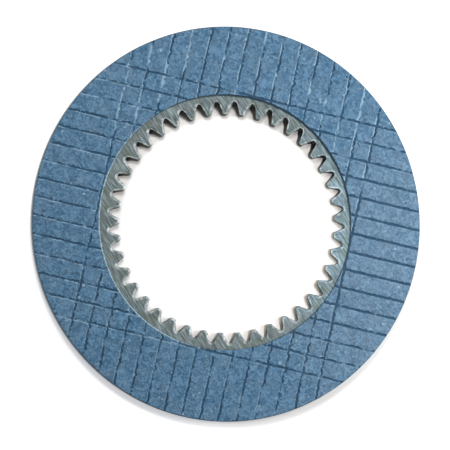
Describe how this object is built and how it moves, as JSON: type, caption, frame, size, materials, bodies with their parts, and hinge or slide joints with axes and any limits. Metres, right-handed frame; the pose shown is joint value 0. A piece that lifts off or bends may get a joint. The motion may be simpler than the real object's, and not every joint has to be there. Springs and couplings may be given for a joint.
{
  "type": "clutch friction disc",
  "caption": "Flat steel clutch disc with an internal involute spline and a grooved blue friction facing bonded to each side.",
  "frame": {"origin": "on the spline axis, in the plane of the rear facing's face, which is what the disc lies on", "axes": "+Z along the spline axis, out of the front facing; X and Y along the two families of grooves"},
  "size_m": [0.178, 0.178, 0.005],
  "materials": {
    "core_steel": "satin",
    "friction_paper": "matte"
  },
  "bodies": {
    "root": {"core_plate": "core_steel", "front_facing": "friction_paper", "rear_facing": "friction_paper"}
  },
  "joints": []
}
